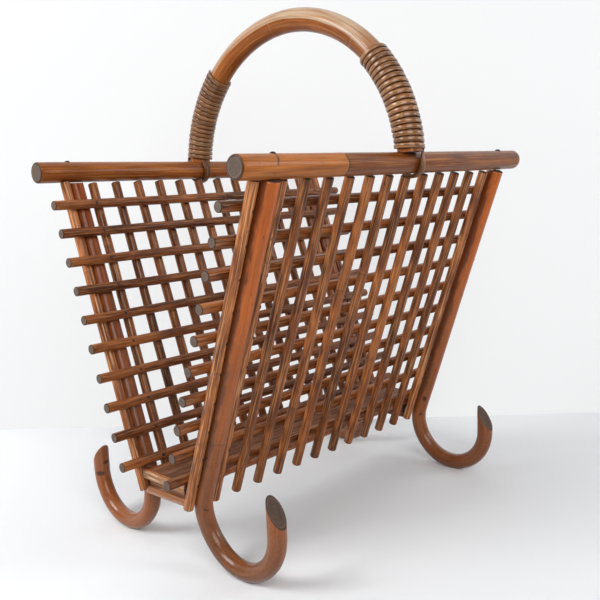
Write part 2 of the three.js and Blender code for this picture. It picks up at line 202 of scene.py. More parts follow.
# Dark knots on the back left and front right feet: place and size in metres, and how squat
KNOTS = (((-0.1629, 0.1157, 0.0576), 0.0048, 2.0), ((-0.1706, 0.1183, 0.0467), 0.0062, 2.0),
         ((0.1559, -0.0508, 0.0776), 0.0026, 0.6), ((0.1564, -0.0448, 0.0578), 0.0018, 0.8))

# Tone, place of the first node ring and seed of each rail and post
RAIL_LOOKS = {"front": (-0.02, 0.1125, 22.82), "back": (-0.5, 0.31, 9.4)}
POST_LOOKS = {"front_left": (0.55, 0.2396, 29.85), "front_right": (0.72, 0.47, 12.0),
              "back_left": (-0.02, 0.17, 51.0), "back_right": (-0.2, 0.12, 77.0)}

# Unevenness of this one basket, in metres, where not said otherwise.
# Lift of each rail's left and right end, and by how much of its width it grows thicker leftwards
RAIL_TILTS = {-1: (-0.0014, 0.0011, 0.0), 1: (0.0014, 0.0, 0.09)}
# How far each sole stands aside of its post, how much paler its sole and tip are, how much thicker
FEET = {"front_left": (0.0045, -1.15, 0.1, 0.0), "front_right": (0.0035, -0.7, -0.45, 0.0),
        "back_left": (0.0, 0.42, 0.2, -0.06), "back_right": (0.0, -0.1, 0.1, 0.0)}
# How much shorter the front rail and the front rods are at the right end
FRONT_CUTS = {"rail": 0.008, "rod": 0.0034}
# How much higher a guard ends where the rail above it is lifted
GUARD_RISES = {"back_left_outer_guard": 0.002}
# How far the cross bars lie inwards, and how much lower their back ends are
BAR_SHIFT = 0.0008
BAR_SLOPE = 0.0016
# How far the nails of the back rail stand outwards of the posts
BACK_NAIL_SHIFT = 0.005

# Height of each nail low in a post, and how far it is turned aside, as a sine
POST_NAILS = ((0.1055, 0.98), (0.0552, 0.57), (0.0539, 0.34))
# Which of a swept cane's materials is its cut end, after the skin
CUT_SLOT = 1


# Node trees, written as plain sums

class Wire:
    """An output socket that takes Python's arithmetic and adds the Math node for each step."""

    def __init__(self, board, socket):
        self.board, self.socket = board, socket

    def math(self, operation, *others, clamp=False):
        return self.board.wire("ShaderNodeMath", dict(enumerate((self, *others))),
                               operation=operation, use_clamp=clamp)

    def __add__(self, other):
        return self.math("ADD", other)

    def __sub__(self, other):
        return self.math("SUBTRACT", other)

    def __mul__(self, other):
        return self.math("MULTIPLY", other)

    def __truediv__(self, other):
        return self.math("DIVIDE", other)

    def clamp(self):
        return self.math("ADD", 0.0, clamp=True)

    def ramp(self, low, high):
        """0 below low, 1 above high, and a smooth step between, where high may be the lower."""
        return self.board.wire("ShaderNodeMapRange", {
            "Value": self, "From Min": low, "From Max": high, "To Min": 0.0, "To Max": 1.0},
            "Result", interpolation_type="SMOOTHSTEP")

    def bell(self, width):
        """1 at zero, falling to almost nothing at a few widths on either side."""
        share = self / width
        return (share * share * -1.0).math("EXPONENT")


class Board:
    """One node tree with short ways to add nodes to it."""

    def __init__(self, tree):
        self.tree = tree

    def plug(self, socket, value):
        if isinstance(value, Wire):
            value = value.socket
        if isinstance(value, bpy.types.NodeSocket):
            self.tree.links.new(value, socket)
        else:
            socket.default_value = value

    def add(self, kind, inputs=(), **settings):
        node = self.tree.nodes.new(kind)
        for name, value in settings.items():
            setattr(node, name, value)
        for name, value in dict(inputs).items():
            self.plug(node.inputs[name], value)
        return node

    def wire(self, kind, inputs=(), output=0, **settings):
        """Adds a node and returns one of its outputs."""
        return Wire(self, self.add(kind, inputs, **settings).outputs[output])

    def give(self, **values):
        """Plugs the results into the group's output and returns the finished tree."""
        result = self.add("NodeGroupOutput")
        for name, value in values.items():
            self.plug(result.inputs[name], value)
        return self.tree

    def split(self, vector):
        node = self.add("ShaderNodeSeparateXYZ", {0: vector})
        return [Wire(self, output) for output in node.outputs]

    def join(self, x, y, z):
        return self.wire("ShaderNodeCombineXYZ", {0: x, 1: y, 2: z})

    def noise(self, vector, scale=1.0, detail=2.0, roughness=0.5, output="Fac"):
        return self.wire("ShaderNodeTexNoise", {"Vector": vector, "Scale": scale, "Detail": detail,
                         "Roughness": roughness}, output)

    def blend(self, share, first, second):
        """Goes from the first colour to the second by the share."""
        node = self.add("ShaderNodeMix", data_type="RGBA", clamp_factor=True)
        for name, value in (("Factor_Float", share), ("A_Color", first), ("B_Color", second)):
            self.plug(next(s for s in node.inputs if s.identifier == name), value)
        return Wire(self, next(s for s in node.outputs if s.identifier == "Result_Color"))

    def layers(self, tint, *coats):
        """Lays coats over a colour one by one, each given as its share and its colour."""
        for share, over in coats:
            tint = self.blend(share, tint, over)
        return tint

    def attribute(self, name, output="Vector"):
        return self.wire("ShaderNodeAttribute", output=output, attribute_name=name)

    def object_place(self):
        return self.wire("ShaderNodeTexCoord", output="Object")

    def named(self, name, kind="FLOAT_VECTOR"):
        return self.wire("GeometryNodeInputNamedAttribute", {"Name": name}, "Attribute",
                         data_type=kind)

    def store(self, geometry, name, value, kind="FLOAT_VECTOR"):
        return self.wire("GeometryNodeStoreNamedAttribute", {
            "Geometry": geometry, "Name": name, "Value": value}, data_type=kind, domain="POINT")

    def place_group(self, name, maker, inputs=()):
        """Places a node group, made where it isn't there yet, and returns its outputs by name."""
        node = self.add("ShaderNodeGroup", inputs, node_tree=tree_named(name, maker))
        return {output.name: Wire(self, output) for output in node.outputs}


def new_tree(name, kind, inputs, outputs):
    """A node group, as its board and its inputs, which are given as a number or a socket type."""
    tree = bpy.data.node_groups.new(name, kind)
    for direction, sockets in (("INPUT", inputs), ("OUTPUT", outputs)):
        for label, value in sockets.items():
            socket_type = value if isinstance(value, str) else type(value).__name__.title()
            socket = tree.interface.new_socket(label, in_out=direction,
                                               socket_type="NodeSocket" + socket_type)
            if socket_type != value:
                socket.default_value = value
    board = Board(tree)
    given = board.add("NodeGroupInput")
    return board, {s.name: Wire(board, s) for s in given.outputs if s.name}


def tree_named(name, maker):
    return bpy.data.node_groups.get(name) or maker()


def sweep_tree():
    """Sweeps a cane of round, oval or squared section along a guide.

    The guide carries run, girth and facing, the way that the section's depth points.
    """
    board, given = new_tree("Swept cane", "GeometryNodeTree", {
        "Guide": "Geometry", "Depth": 0.009, "Width": 0.009, "Squareness": 1.0, "Sides": 16,
        "Wander": 0.0, "Wander Length": 0.08, "Lumps": 0.0, "Ripple": 0.0, "End Round": 0.0,
        "Taper": 0.0, "Ring Spacing": 0.2, "Ring Swell": 0.0, "Skin": "Material",
        "Cut": "Material"}, {"Cane": "Geometry"})
    curve = board.wire("GeometryNodeMeshToCurve", {"Mesh": given["Guide"]})
    turned = board.wire("GeometryNodeSetCurveNormal", {
        "Curve": curve, "Normal": board.named("facing")}, mode="FREE")
    length_along = board.wire("GeometryNodeSplineParameter", output="Length")
    stored = board.store(turned, "along", length_along, "FLOAT")
    along = board.named("along", "FLOAT")
    _, ring_start, seed = board.split(board.named("run"))

    place = board.join(along / given["Wander Length"], seed * 7.13, 0.0)
    drifts = board.split(board.noise(place, detail=1.0, output="Color"))
    reach = given["Wander"] * 2.0
    offset = board.join(*((drift - 0.5) * reach for drift in drifts))
    moved = board.wire("GeometryNodeSetPosition", {"Geometry": stored, "Offset": offset})

    lump = board.noise(board.join(along * 22.0, seed * 3.7, 4.0), detail=1.0)
    rings = (along - ring_start) / given["Ring Spacing"]
    from_ring = (rings - rings.math("ROUND")) * given["Ring Spacing"]
    whole = board.wire("GeometryNodeSplineLength", output="Length")
    swell = (from_ring.bell(0.0022) * given["Ring Swell"] + (lump - 0.5) * given["Lumps"]
             + (along / whole * -1.0 + 0.5) * given["Taper"] + board.named("girth", "FLOAT") + 1.0)
    ended = board.store(moved, "to_end", along.math("MINIMUM", whole - along), "FLOAT")
    to_end = board.named("to_end", "FLOAT")
    short = (to_end / given["End Round"].math("MAXIMUM", 0.00001)).clamp() * -1.0 + 1.0
    drop = (short * short * -1.0 + 1.0).math("SQRT") * -1.0 + 1.0
    half = given["Depth"].math("MINIMUM", given["Width"]) / 2.0
    scale = swell - drop * given["End Round"] / half

    circle = board.wire("GeometryNodeCurvePrimitiveCircle", {
        "Resolution": given["Sides"], "Radius": 1.0}, mode="RADIUS")
    x, y, _ = board.split(board.wire("GeometryNodeInputPosition"))
    squared = [side.math("SIGN") * side.math("ABSOLUTE").math("POWER", given["Squareness"])
               * given[size] / 2.0 for side, size in ((x, "Depth"), (y, "Width"))]
    shaped = board.wire("GeometryNodeSetPosition", {
        "Geometry": circle, "Position": board.join(*squared, 0.0)})
    profile = board.store(shaped, "section", board.wire("GeometryNodeInputPosition"))
    swept = board.wire("GeometryNodeCurveToMesh", {
        "Curve": ended, "Profile Curve": profile, "Scale": scale, "Fill Caps": True})
    across_x, across_y, _ = board.split(board.named("section"))
    tipped = board.store(swept, "tip", board.named("to_end", "FLOAT"), "FLOAT")
    grained = board.store(tipped, "grain", board.join(across_x, across_y, along))
    fibre = board.noise(board.join(across_x * 420.0, across_y * 420.0, along * 9.0 + seed * 5.1))
    lift = board.wire("ShaderNodeVectorMath", {
        0: board.wire("GeometryNodeInputNormal"),
        "Scale": (fibre - 0.5) * given["Ripple"] * 2.0}, operation="SCALE")
    rippled = board.wire("GeometryNodeSetPosition", {"Geometry": grained, "Offset": lift})
    for spent in ("along", "section", "facing", "to_end", "girth"):
        rippled = board.wire("GeometryNodeRemoveAttribute", {"Geometry": rippled, "Name": spent})

    corners = board.wire("GeometryNodeInputMeshFaceNeighbors", output="Vertex Count")
    is_cap = corners.math("GREATER_THAN", 4.5)
    smooth = board.wire("GeometryNodeSetShadeSmooth", {
        "Geometry": rippled, "Shade Smooth": is_cap * -1.0 + 1.0})
    real = board.wire("GeometryNodeRealizeInstances", {"Geometry": smooth})
    skinned = board.wire("GeometryNodeSetMaterial", {"Geometry": real, "Material": given["Skin"]})
    return board.give(Cane=board.wire("GeometryNodeSetMaterial", {
        "Geometry": skinned, "Selection": is_cap, "Material": given["Cut"]}))


def nail_tree():
    """Sets a low domed nail head on each point of the guide, turned to the way it faces."""
    board, given = new_tree("Nail heads", "GeometryNodeTree", {
        "Points": "Geometry", "Head Width": 0.0026, "Dome Share": 0.42, "Skin": "Material"},
        {"Nails": "Geometry"})
    head = board.wire("GeometryNodeMeshUVSphere", {"Segments": 12, "Rings": 8, "Radius": 0.5})
    width = given["Head Width"] * board.wire("FunctionNodeRandomValue", {
        "Seed": 5, 2: 0.85, 3: 1.15}, 1, data_type="FLOAT")
    turn = board.wire("FunctionNodeAlignRotationToVector", {"Vector": board.named("facing")},
                      axis="Z")
    placed = board.wire("GeometryNodeInstanceOnPoints", {
        "Points": given["Points"], "Instance": head, "Rotation": turn,
        "Scale": board.join(width, width, width * given["Dome Share"])})
    real = board.wire("GeometryNodeRealizeInstances", {"Geometry": placed})
    smooth = board.wire("GeometryNodeSetShadeSmooth", {"Geometry": real})
    return board.give(Nails=board.wire("GeometryNodeSetMaterial", {
        "Geometry": smooth, "Material": given["Skin"]}))


# Shader groups

def cane_skin_group():
    """Colour, roughness and relief of cane skin: fibres, soft patches, node rings and specks, with
    painted shade at a strand's edges and down a post's sides.
    """
    board, given = new_tree("Cane skin", "ShaderNodeTree", {
        **dict.fromkeys(("Body", "Dark", "Light", "Band", "Streak"), "Color"),
        "Fibre Width": 0.0011, "Fibre Length": 0.035, "Fibre Contrast": 0.8, "Streaks": 0.5,
        "Patch Contrast": 0.5, "Ring Spacing": 0.2, "Ring Strength": 0.6, "Gloss": 0.35,
        "Internode Contrast": 0.2, "Edge Start": 1.0, "Side Start": 1.0, "Side Length": 1.0,
        "End Band": 0.0},
        {"Color": "Color", "Roughness": "Float", "Height": "Float"})
    across_x, across_y, along = board.split(board.attribute("grain"))
    tone, ring_start, seed = board.split(board.attribute("run"))

    def fibres(width, reach, shift, detail=3.0, roughness=0.6):
        place = board.join(across_x / width + seed * 1.7, across_y / width + shift,
                           along / reach + seed * 9.3)
        return board.noise(place, detail=detail, roughness=roughness)

    def threads(wide, far, shift, detail=3.0):
        """Fibres in shares of the skin's own fibre width and length."""
        return fibres(given["Fibre Width"] * wide, given["Fibre Length"] * far, shift, detail)

    broad = threads(1.0, 1.0, 0.0)
    fine = threads(0.36, 0.55, 7.0, 2.0)
    bands = threads(2.6, 2.2, 31.0, 1.0)
    pale = threads(0.6, 1.3, 41.0, 2.0).ramp(0.52, 0.66) * given["Streaks"]
    split = threads(0.5, 1.5, 57.0, 2.0).ramp(0.58, 0.7) * given["Streaks"]
    patches = fibres(0.011, 0.05, 13.0, roughness=0.55)
    mottles = fibres(0.0035, 0.011, 71.0)
    wobble = (fibres(0.006, 0.02, 23.0, detail=2.0) - 0.5) * 0.004

    rings = (along - ring_start + wobble) / given["Ring Spacing"]
    step = (rings.math("FLOOR") * 2.4 + seed).math("SINE")
    from_ring = (rings - rings.math("ROUND")) * given["Ring Spacing"]
    ring_line = from_ring.bell(0.0004) * given["Ring Strength"]
    ring_shade = (from_ring - 0.0018).bell(0.0016) * given["Ring Strength"]

    value = tone + step * given["Internode Contrast"]
    for noise, contrast, weight in (
            (broad, "Fibre Contrast", 3.4), (bands, "Fibre Contrast", 2.0),
            (fine, "Fibre Contrast", 1.7), (patches, "Patch Contrast", 3.0),
            (mottles, "Patch Contrast", 1.2)):
        value = value + (noise - 0.5) * given[contrast] * weight
    speck_place = board.join(across_x * 330.0 + seed, across_y * 330.0, along * 150.0)
    speck = board.noise(speck_place).ramp(0.69, 0.75)
    # Painted shade at both edges of a strand, standing in for the gaps between its turns
    edge = across_y.math("ABSOLUTE").ramp(given["Edge Start"], given["Edge Start"] * 1.12)
    # Painted shade down both sides of a post, where its guards stand close, over the lattice part
    # only
    side = (across_x.math("ABSOLUTE") - wobble).ramp(given["Side Start"],
                                                     given["Side Start"] * 1.22)
    side = side * along.ramp(given["Side Length"] * 1.1, given["Side Length"])
    band = board.attribute("tip", "Fac") - given["End Band"] + wobble * 0.25
    tint = board.layers(
        given["Body"], ((value * -1.0).clamp(), given["Dark"]), (value.clamp(), given["Light"]),
        (pale, given["Streak"]), (split, given["Dark"]), (ring_shade * 0.55, given["Dark"]),
        (ring_line * 0.75, given["Streak"]), (speck * 0.6, given["Dark"]),
        (edge * 0.6, given["Dark"]), (side * 0.85, given["Dark"]),
        (band.ramp(0.0003, -0.0003) * 0.9, given["Band"]))
    return board.give(
        Color=tint, Roughness=given["Gloss"] + (patches - 0.45) * 0.22 + (fine - 0.5) * 0.16,
        Height=(broad * 0.5 + fine * 0.35 + bands * 0.4 + ring_line * 0.9 - ring_shade * 0.5
                - split * 0.5))


def worn_group():
    """Where hands' wear has paled the top of the arch, and where a painted sheen of the bright
    ceiling lights its upper side: a mask from its upper side and its length.
    """
    board, given = new_tree("Worn top", "ShaderNodeTree", {
        "Line": 0.0, "Line Drift": 0.004, "First": 0.1, "Last": 0.335}, {"Mask": "Float"})
    across_x, across_y, along = board.split(board.attribute("grain"))
    drift = board.noise(board.join(along * 14.0, 3.0, 0.0)) - 0.5
    streak = board.noise(board.join(across_x * 700.0, across_y * 700.0, along * 22.0), detail=3.0)
    # The upper side of the arch goes pale: wear, and a painted sheen from above
    height = across_y * -1.0 + drift * given["Line Drift"] + (streak - 0.5) * 0.004
    above = (height - given["Line"]).ramp(-0.0006, 0.0009)
    there = (along - given["First"]).ramp(-0.03, 0.03) * (along - given["Last"]).ramp(0.05, -0.03)
    return board.give(Mask=above * there * (streak.ramp(0.36, 0.62) * 0.7 + 0.3))


def cut_end_group():
    """A sawn end: grey-brown pith with open pores, a paler ring and a dark rim."""
    board, given = new_tree("Cut end", "ShaderNodeTree", {
        **dict.fromkeys(("Pith", "Pore", "Ring", "Rim"), "Color"), "Radius": 0.009,
        "Pore Size": 0.0007}, {"Color": "Color", "Roughness": "Float", "Height": "Float"})
    across_x, across_y, _ = board.split(board.attribute("grain"))
    seed = board.split(board.attribute("run"))[2]
    flat = board.join(across_x / given["Pore Size"] + seed, across_y / given["Pore Size"], seed)
    pores = board.noise(flat, detail=3.0, roughness=0.7)
    blotches = board.noise(flat, scale=0.16)
    reach = (across_x * across_x + across_y * across_y).math("SQRT") / given["Radius"]
    uneven = reach + (blotches - 0.5) * 0.1
    tint = board.layers(
        given["Pith"], (pores.ramp(0.46, 0.62), given["Pore"]),
        (blotches.ramp(0.35, 0.7) * 0.45, given["Pore"]),
        ((uneven - 0.84).bell(0.05) * 0.6, given["Ring"]),
        (uneven.ramp(0.86, 0.97) * 0.85, given["Rim"]))
    return board.give(Color=tint, Roughness=pores * 0.2 + 0.62,
                      Height=pores * -0.8 + blotches * 0.4)


def knot_group():
    """A dark knot round a place on the cane, wider than tall and ragged at its rim."""
    board, given = new_tree("Knot", "ShaderNodeTree", {
        "Place": "Vector", "Size": 0.004, "Squat": 2.0}, {"Mask": "Float"})
    place = board.object_place()
    x, y, z = board.split(board.wire("ShaderNodeVectorMath", {0: place, 1: given["Place"]},
                                     operation="SUBTRACT"))
    z = z * given["Squat"]
    ragged = board.noise(place, scale=700.0, detail=3.0) - 0.5
    away = (x * x + y * y + z * z).math("SQRT") / given["Size"] + ragged * 0.7
    return board.give(Mask=away.ramp(1.1, 0.5) * 0.85)


# Materials

def material_named(name, maker, *facts):
    return bpy.data.materials.get(name) or maker(name, *facts)


def new_material(name):
    material = bpy.data.materials.new(name)
    material.use_nodes = True
    board = Board(material.node_tree)
    shader = next(n for n in board.tree.nodes if n.type == "BSDF_PRINCIPLED")
    return material, board, shader


def finish_shader(board, shader, height, relief, strength, values):
    """Plugs the values into the shader, and the height as a bump of that relief."""
    bump = board.wire("ShaderNodeBump", {"Height": height, "Distance": relief,
                                         "Strength": strength})
    for label, value in {**values, "Normal": bump}.items():
        board.plug(shader.inputs[label], value)


def tinted(body, factor, pull=(1, 1, 1)):
    """A shade of a colour: each channel times the factor and its own pull."""
    return tuple(min(1, value * factor * shift) for value, shift in zip(body, pull)) + (1,)


def wear_handle(board, skin, body, coat):
    """The pale top of the arch: real wear from hands, and a painted sheen of the bright ceiling."""
    mask = board.place_group("Worn top", worn_group)["Mask"]
    worn = bpy.context.scene.basket_colours.worn
    return board.blend(mask * 0.92, skin, (*worn, 1)), coat


def split_rail(board, skin, body, coat):
    """The dark split that runs down the front rail from its left nail."""
    nail_along, rail_radius = 0.0375, 0.0095
    across_x, _, along = board.split(board.attribute("grain"))
    seed = board.split(board.attribute("run"))[2]
    down = across_x * -1.0 + rail_radius
    ragged = board.noise(board.join(across_x * 500.0, 0.0, 0.0)) - 0.5
    line = (along - nail_along + down * 0.42 + ragged * 0.003).bell(0.0009)
    between_seeds = sum(looks[2] for looks in RAIL_LOOKS.values()) / len(RAIL_LOOKS)
    front = seed.math("GREATER_THAN", between_seeds)
    mask = line * down.ramp(rail_radius, rail_radius - 0.001) * front * 0.95
    return board.blend(mask, skin, tinted(body, 0.12)), coat


def fade_post(board, skin, body, coat):
    """The fading skin towards the foot, which is glossier too, and the knots."""
    grain = board.attribute("grain")
    height = board.split(board.object_place())[2]
    drift = board.noise(grain, scale=70.0, detail=3.0) - 0.5
    faded = (height + drift * 0.12).ramp(0.36, 0.04) * 0.62
    foot = tinted(bpy.context.scene.basket_colours.foot, 1.0)
    mottles = board.noise(grain, scale=400.0, detail=3.0).ramp(0.35, 0.65)
    skin = board.blend(faded, skin, board.blend(mottles, tinted(foot, 0.75), foot))
    for place, size, squat in KNOTS:
        knot = board.place_group("Knot", knot_group, {"Place": place, "Size": size,
                                                      "Squat": squat})
        skin = board.blend(knot["Mask"], skin, tinted(body, 0.1))
    return skin, faded * 0.45 + coat


def dull_strand(board, skin, body, coat):
    """The strand's coat, which wears off where its tone is dark."""
    tone = board.split(board.attribute("run"))[0]
    return skin, (tone + 1.0).clamp() * coat


TOUCHES = {"handle": wear_handle, "rail": split_rail, "post": fade_post, "strand": dull_strand}


def skin_settings(kind):
    settings, special = SKINS[kind][3:]
    return {**dict(zip(SKIN_SETTINGS, settings)), **special}


def skin_material(name, kind):
    """The finish of one kind of cane."""
    dark, light, coat = SKINS[kind][:3]
    body = getattr(bpy.context.scene.basket_colours, kind)
    material, board, shader = new_material(name)
    group = board.place_group("Cane skin", cane_skin_group, {
        "Body": (*body, 1), "Dark": tinted(body, dark, (1.1, 0.9, 0.75)),
        "Light": tinted(body, light, (1, 1.12, 1.2)), "Streak": tinted(body, 2.5, (1, 1.6, 2.5)),
        "Band": tinted(body, 0.16, (1, 1.3, 2)), **skin_settings(kind)})
    skin = group["Color"]
    if kind in TOUCHES:
        skin, coat = TOUCHES[kind](board, skin, body, coat)
    finish_shader(board, shader, group["Height"], relief=0.0006, strength=0.55, values={
        "Base Color": skin, "Roughness": group["Roughness"], "Coat Weight": coat,
        "Coat Roughness": 0.16, "Specular IOR Level": 0.2})
    return material


def cut_material(name, kind, diameter):
    """The sawn end of one kind of cane."""
    pith = bpy.context.scene.basket_colours.cut_end
    material, board, shader = new_material(name)
    shade = CUT_SHADES.get(kind, 1.0)
    group = board.place_group("Cut end", cut_end_group, {
        "Pith": tinted(pith, shade, (1.2, 0.9, 0.72) if kind == "post" else (1, 1, 1)),
        "Pore": tinted(pith, shade * 0.42), "Ring": tinted(pith, shade * 1.5),
        "Rim": tinted(pith, 0.16, (1.1, 0.9, 0.8)), "Radius": diameter / 2})
    finish_shader(board, shader, group["Height"], relief=0.0005, strength=0.7, values={
        "Base Color": group["Color"], "Roughness": group["Roughness"]})
    return material


def nail_material(name):
    """Dark steel with some rust."""
    steel = bpy.context.scene.basket_colours.nail
    material, board, shader = new_material(name)
    rust = board.noise(board.object_place(), scale=900.0, detail=3.0)
    tint = board.blend(rust.ramp(0.4, 0.7), tinted(steel, 1.0), tinted(steel, 1.7, (1.2, 0.9, 0.7)))
    finish_shader(board, shader, rust, relief=0.0002, strength=0.5, values={
        "Base Color": tint, "Roughness": rust * 0.3 + 0.35, "Metallic": 0.3})
    return material


# Guides and finished pieces

def shape_of(kind):
    return dict(zip(SHAPE_SETTINGS, SHAPES[kind]))


def stations(start, end, kind=None, step=0.004):
    """Points of a straight run, close together where the ends of that kind of cane round off."""
    end_round = shape_of(kind)["End Round"] if kind else 0.0
    span = (end - start).length
    near = [share * end_round for share in (0, 0.06, 0.22, 0.5, 1)] if end_round else [0]
    count = max(1, math.ceil((span - 2 * near[-1]) / step))
    inner = [near[-1] + (span - 2 * near[-1]) * i / count for i in range(1, count)]
    places = near + inner + [span - place for place in reversed(near)]
    return [start.lerp(end, place / span) for place in places]


def make_run(points, facing, tone=0.0, ring=0.0, seed=0.0, girth=None):
    """One cane's middle line; facing, tone and girth may change from point to point."""
    ways = facing if isinstance(facing, list) else [facing] * len(points)
    tones = tone if isinstance(tone, list) else [tone] * len(points)
    return {"points": points, "facing": ways, "girth": girth or [0.0] * len(points),
            "run": [(value, ring, seed) for value in tones]}


def guide_object(name, runs, joined=True):
    points = [point for run in runs for point in run["points"]]
    edges, first = [], 0
    for run in runs:
        count = len(run["points"])
        if joined:
            edges += [(first + i, first + i + 1) for i in range(count - 1)]
        first += count
    mesh = bpy.data.meshes.new(name)
    mesh.from_pydata(points, edges, [])
    for label in ("facing", "run"):
        flat = [value for run in runs for place in run[label] for value in place]
        mesh.attributes.new(label, "FLOAT_VECTOR", "POINT").data.foreach_set("vector", flat)
    girth = [value for run in runs for value in run["girth"]]
    mesh.attributes.new("girth", "FLOAT", "POINT").data.foreach_set("value", girth)
    return link_object(name, mesh)


def link_object(name, data):
    item = bpy.data.objects.new(name, data)
    bpy.context.scene.collection.objects.link(item)
    return item


def apply_tree(guide, tree, name, values):
    """Runs the tree on the guide and returns its result as a plain mesh object."""
    modifier = guide.modifiers.new("tree", "NODES")
    modifier.node_group = tree
    identifiers = {item.name: item.identifier for item in tree.interface.items_tree
                   if item.in_out == "INPUT"}
    for label, value in values.items():
        modifier[identifiers[label]] = value
    evaluated = guide.evaluated_get(bpy.context.evaluated_depsgraph_get())
    mesh = bpy.data.meshes.new_from_object(evaluated)
    guide_mesh = guide.data
    bpy.data.objects.remove(guide)
    bpy.data.meshes.remove(guide_mesh)
    mesh.name = name
    return link_object(name, mesh)


def sweep(name, runs, shape, depth, width=None, skin=None, taper=0.0):
    """Sweeps the runs into one piece of that shape, with the finish of its own kind or of skin."""
    kind = skin or shape
    return apply_tree(guide_object(name, runs), tree_named("Swept cane", sweep_tree), name, {
        "Depth": depth, "Width": width or depth, "Taper": taper,
        "Ring Spacing": skin_settings(kind)["Ring Spacing"],
        "Skin": material_named(kind + "_skin", skin_material, kind),
        "Cut": material_named(kind + "_cut", cut_material, kind, depth), **shape_of(shape)})


def hand_over(piece, slot, *nodes):
    """Ties a finished piece to the CAD body and hides the CAD nodes that it stands for; the slot is
    not used.
    """
    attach(piece, "root")
    if nodes:
        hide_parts(*nodes)


def chance(name):
    """A random generator of the piece's own, the same at every run."""
    return random.Random("basket " + name)


# Places, from the CAD model

def middle(node):
    low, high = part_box(node)
    return (low + high) / 2


class Layout:
    """Lines and slopes that several pieces share."""

    def __init__(self, sizes):
        self.sizes = sizes
        self.rail = middle("back_rail")
        self.top_rod = middle("back_rod_01")
        low_rod = middle("back_rod_10")
        across, down = self.top_rod.y - low_rod.y, self.top_rod.z - low_rod.z
        self.slope = math.atan2(across, down)
        self.panel_length = math.hypot(across, down)
        gap = sizes.contact_gap
        self.stick_offset = (sizes.rod_diameter + sizes.stick_diameter) / 2 + gap
        self.post_offset = (sizes.rod_diameter + sizes.post_diameter) / 2 + gap
        self.post_top = self.rail.z - sizes.rail_diameter / 2 - gap
        self.hook_z = sizes.foot_bend_radius + sizes.post_diameter / 2 - sizes.foot_flat_depth
        self.hook_y = (self.height_on_panel(self.hook_z, self.post_offset)
                       + sizes.foot_bend_radius / math.cos(self.slope))
        self.handle_reach = self.rail.y + sizes.handle_outset

    def rail_side(self, way, x, up):
        """Height of the rail's top, or of its underside where up is -1."""
        left, right, taper = RAIL_TILTS[way]
        share = 0.5 - x / (2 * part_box("back_rail")[1].x)
        lift, thicker = left * share + right * (1 - share), (share - 0.5) * taper
        return self.rail.z + lift + up * self.sizes.rail_diameter / 2 * (1 + thicker)

    def foot_share(self, height):
        """0 on the straight post, growing to 1 at the sole."""
        foot_top, foot_bottom = 0.07, 0.015
        share = min(1, max(0, (foot_top - height) / (foot_top - foot_bottom)))
        return share * share * (3 - 2 * share)

    def on_panel(self, side, x, along, offset):
        """A point that far down the panel from the top rod and that far outside the rods."""
        y = self.top_rod.y + offset * math.cos(self.slope) - along * math.sin(self.slope)
        z = self.top_rod.z - offset * math.sin(self.slope) - along * math.cos(self.slope)
        return Vector((x, side * y, z))

    def height_on_panel(self, height, offset):
        """Distance from the middle plane, at a height, of a line that far outside the rods."""
        drop = self.top_rod.z - offset * math.sin(self.slope) - height
        return self.top_rod.y + offset * math.cos(self.slope) - drop * math.tan(self.slope)

    def arch(self, side, angle):
        return Vector((0, side * self.handle_reach * math.cos(angle),
                       self.rail.z + self.sizes.handle_rise * math.sin(angle)))

    def arch_out(self, side, angle):
        return Vector((0, side * self.sizes.handle_rise * math.cos(angle),
                       self.handle_reach * math.sin(angle))).normalized()


def layout():
    return Layout(bpy.context.scene.basket_sizes)


# Operators, one for each piece or group of like pieces

class BASKET_OT_rails(Operator):
    """Make the two thick top rails"""
    bl_idname = "basket.rails"
    bl_label = "Top rails"

    def execute(self, context):
        size = context.scene.basket_sizes.rail_diameter
        for side, way in SIDES.items():
            low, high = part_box(side + "_rail")
            height, y = (low.z + high.z) / 2, (low.y + high.y) / 2
            left, right, taper = RAIL_TILTS[way]
            far_end = high.x - (FRONT_CUTS["rail"] if way < 0 else 0.0)
            points = stations(Vector((low.x, y, height + left)),
                              Vector((far_end, y, height + right)), "rail")
            run = make_run(points, Z_AXIS, *RAIL_LOOKS[side])
            piece = sweep("cane_" + side + "_rail", [run], "rail", size, taper=taper)
            hand_over(piece, "rail_cane", side + "_rail")
        return {"FINISHED"}


class BASKET_OT_rods(Operator):
    """Make the ten level rods of each panel"""
    bl_idname = "basket.rods"
    bl_label = "Level rods"

    def execute(self, context):
        size = context.scene.basket_sizes.rod_diameter
        for side in SIDES:
            for index in range(1, 11):
                node = f"{side}_rod_{index:02d}"
                dice = chance(node)
                low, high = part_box(node)
                at = (low + high) / 2
                far_end = high.x - (FRONT_CUTS["rod"] if side == "front" else 0.0)
                points = stations(Vector((low.x, at.y, at.z)), Vector((far_end, at.y, at.z)),
                                  "rod")
                run = make_run(points, Z_AXIS, tone=dice.uniform(-0.45, 0.25),
                               ring=dice.uniform(0.05, 0.3), seed=dice.uniform(0, 90))
                piece = sweep("cane_" + node, [run], "rod", size * dice.uniform(0.97, 1.02))
                hand_over(piece, "rod_cane", node)
        return {"FINISHED"}


def upright(node, side, kind, tones):
    """One straight cane down the slope of a panel."""
    plan = layout()
    dice = chance(node)
    x = middle(node).x
    size = plan.sizes.stick_diameter
    high_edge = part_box(node)[1].z - size / 2 * math.sin(plan.slope)
    rise = ((high_edge - plan.top_rod.z + plan.stick_offset * math.sin(plan.slope))
            / math.cos(plan.slope) + GUARD_RISES.get(node, 0.0))
    points = stations(
        plan.on_panel(SIDES[side], x, -rise, plan.stick_offset),
        plan.on_panel(SIDES[side], x, plan.panel_length + plan.sizes.stick_bottom_drop,
                      plan.stick_offset), kind)
    run = make_run(points, X_AXIS, tone=dice.uniform(*tones), ring=dice.uniform(0.05, 0.27),
                   seed=dice.uniform(0, 90))
    piece = sweep("cane_" + node, [run], kind, size * dice.uniform(0.96, 1.02))
    hand_over(piece, kind + "_cane", node)


